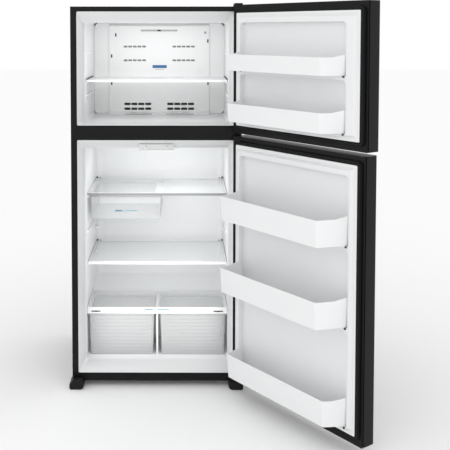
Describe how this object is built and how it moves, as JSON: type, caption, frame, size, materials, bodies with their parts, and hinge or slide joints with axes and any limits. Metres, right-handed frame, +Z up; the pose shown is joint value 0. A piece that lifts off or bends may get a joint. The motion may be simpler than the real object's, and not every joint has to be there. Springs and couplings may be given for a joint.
{
  "type": "top freezer refrigerator",
  "caption": "Top freezer refrigerator with hinged doors, white liners, glass shelves, clear sliding drawers, door bins, control dials, feet and rollers.",
  "frame": {"origin": "on the floor, under the middle of the overall box with both doors open as at rest", "axes": "+Z up, +Y from the doors to the back of the cabinet, +X to the right as seen from the front"},
  "size_m": [1.2252, 1.279, 1.7082],
  "materials": {
    "cabinet_paint": "satin",
    "door_paint": "satin",
    "compressor_paint": "satin",
    "plated_steel": "zinc plated",
    "black_plastic": "matte",
    "white_liner": "semi gloss",
    "white_trim": "semi gloss",
    "clear_plastic": "clear",
    "shelf_glass": "clear",
    "lamp_glass": "frosted",
    "gasket_rubber": "matte",
    "foam": "matte",
    "aluminium_tube": "bare",
    "condenser_tube": "bare"
  },
  "bodies": {
    "cabinet": {"base_plate": "plated_steel", "bottom_hinge": "plated_steel", "bottom_rail": "cabinet_paint", "cabinet_back": "cabinet_paint", "cabinet_foam": "foam", "cabinet_wrapper": "cabinet_paint", "centre_hinge": "plated_steel", "compressor": "compressor_paint", "condenser_coil": "condenser_tube", "condenser_fan_motor": "black_plastic", "control_housing": "white_trim", "crisper_cover_frame": "white_trim", "crisper_cover_glass": "shelf_glass", "crisper_divider": "white_trim", "deli_drawer_hanger": "white_trim", "drain_pan": "black_plastic", "evaporator_coil": "aluminium_tube", "evaporator_cover": "white_liner", "evaporator_fan_motor": "black_plastic", "freezer_liner": "white_liner", "freezer_shelf": "white_trim", "fridge_liner": "white_liner", "front_foot_left": "black_plastic", "front_foot_right": "black_plastic", "lamp_bulb": "lamp_glass", "machine_cover": "cabinet_paint", "middle_shelf_frame": "white_trim", "middle_shelf_glass": "shelf_glass", "mullion_plug": "black_plastic", "mullion_rail": "cabinet_paint", "roller_bracket_left": "plated_steel", "roller_bracket_right": "plated_steel", "top_hinge": "plated_steel", "top_hinge_cover": "black_plastic", "upper_shelf_frame": "white_trim", "upper_shelf_glass": "shelf_glass"},
    "condenser_fan": {"condenser_fan_blade": "black_plastic"},
    "crisper_left": {"crisper_drawer_left": "clear_plastic"},
    "crisper_right": {"crisper_drawer_right": "clear_plastic"},
    "deli_tray": {"deli_drawer": "clear_plastic"},
    "evaporator_fan": {"evaporator_fan_blade": "black_plastic"},
    "freezer_door": {"freezer_door_bin_lower": "white_trim", "freezer_door_bin_upper": "white_trim", "freezer_door_foam": "foam", "freezer_door_gasket": "gasket_rubber", "freezer_door_liner": "white_liner", "freezer_door_shell": "door_paint"},
    "freezer_knob": {"freezer_control_knob": "white_trim"},
    "fridge_door": {"fridge_door_bin_lower": "white_trim", "fridge_door_bin_middle": "white_trim", "fridge_door_bin_upper": "white_trim", "fridge_door_foam": "foam", "fridge_door_gasket": "gasket_rubber", "fridge_door_liner": "white_liner", "fridge_door_shell": "door_paint"},
    "fridge_knob": {"fridge_control_knob": "white_trim"},
    "humidity_vent_left": {"humidity_slider_left": "white_trim"},
    "humidity_vent_right": {"humidity_slider_right": "white_trim"},
    "roller_left": {"rear_roller_left": "black_plastic"},
    "roller_right": {"rear_roller_right": "black_plastic"}
  },
  "joints": [
    {"name": "freezer_door_swing", "type": "hinge", "parent": "cabinet", "child": "freezer_door", "pos_m": [0.13479, -0.03165, 0], "axis": [0, 0, 1], "range_deg": [-126.8, 3]},
    {"name": "fridge_door_swing", "type": "hinge", "parent": "cabinet", "child": "fridge_door", "pos_m": [0.13479, -0.03165, 0], "axis": [0, 0, 1], "range_deg": [-126.1, 3]},
    {"name": "crisper_left_slide", "type": "slide", "parent": "cabinet", "child": "crisper_left", "axis": [0, -1, 0], "range_m": [0, 0.22]},
    {"name": "crisper_right_slide", "type": "slide", "parent": "cabinet", "child": "crisper_right", "axis": [0, -1, 0], "range_m": [0, 0.22]},
    {"name": "deli_tray_slide", "type": "slide", "parent": "cabinet", "child": "deli_tray", "axis": [0, -1, 0], "range_m": [0, 0.26]},
    {"name": "humidity_left_shift", "type": "slide", "parent": "cabinet", "child": "humidity_vent_left", "axis": [1, 0, 0], "range_m": [0, 0.015]},
    {"name": "humidity_right_shift", "type": "slide", "parent": "cabinet", "child": "humidity_vent_right", "axis": [1, 0, 0], "range_m": [-0.015, 0]},
    {"name": "fridge_knob_turn", "type": "hinge", "parent": "cabinet", "child": "fridge_knob", "pos_m": [-0.27331, 0.01975, 1.072], "axis": [0, 1, 0], "range_deg": [-135, 135]},
    {"name": "freezer_knob_turn", "type": "hinge", "parent": "cabinet", "child": "freezer_knob", "pos_m": [-0.18131, 0.01975, 1.072], "axis": [0, 1, 0], "range_deg": [-135, 135]},
    {"name": "evaporator_fan_spin", "type": "hinge", "parent": "cabinet", "child": "evaporator_fan", "pos_m": [-0.22731, 0.48955, 1.5135], "axis": [0, 1, 0], "continuous": true},
    {"name": "condenser_fan_spin", "type": "hinge", "parent": "cabinet", "child": "condenser_fan", "pos_m": [-0.17531, 0.53855, 0.1262], "axis": [1, 0, 0], "continuous": true},
    {"name": "roller_left_roll", "type": "hinge", "parent": "cabinet", "child": "roller_left", "pos_m": [-0.53356, 0.58955, 0.0115], "axis": [1, 0, 0], "continuous": true},
    {"name": "roller_right_roll", "type": "hinge", "parent": "cabinet", "child": "roller_right", "pos_m": [0.07894, 0.58955, 0.0115], "axis": [1, 0, 0], "continuous": true}
  ]
}
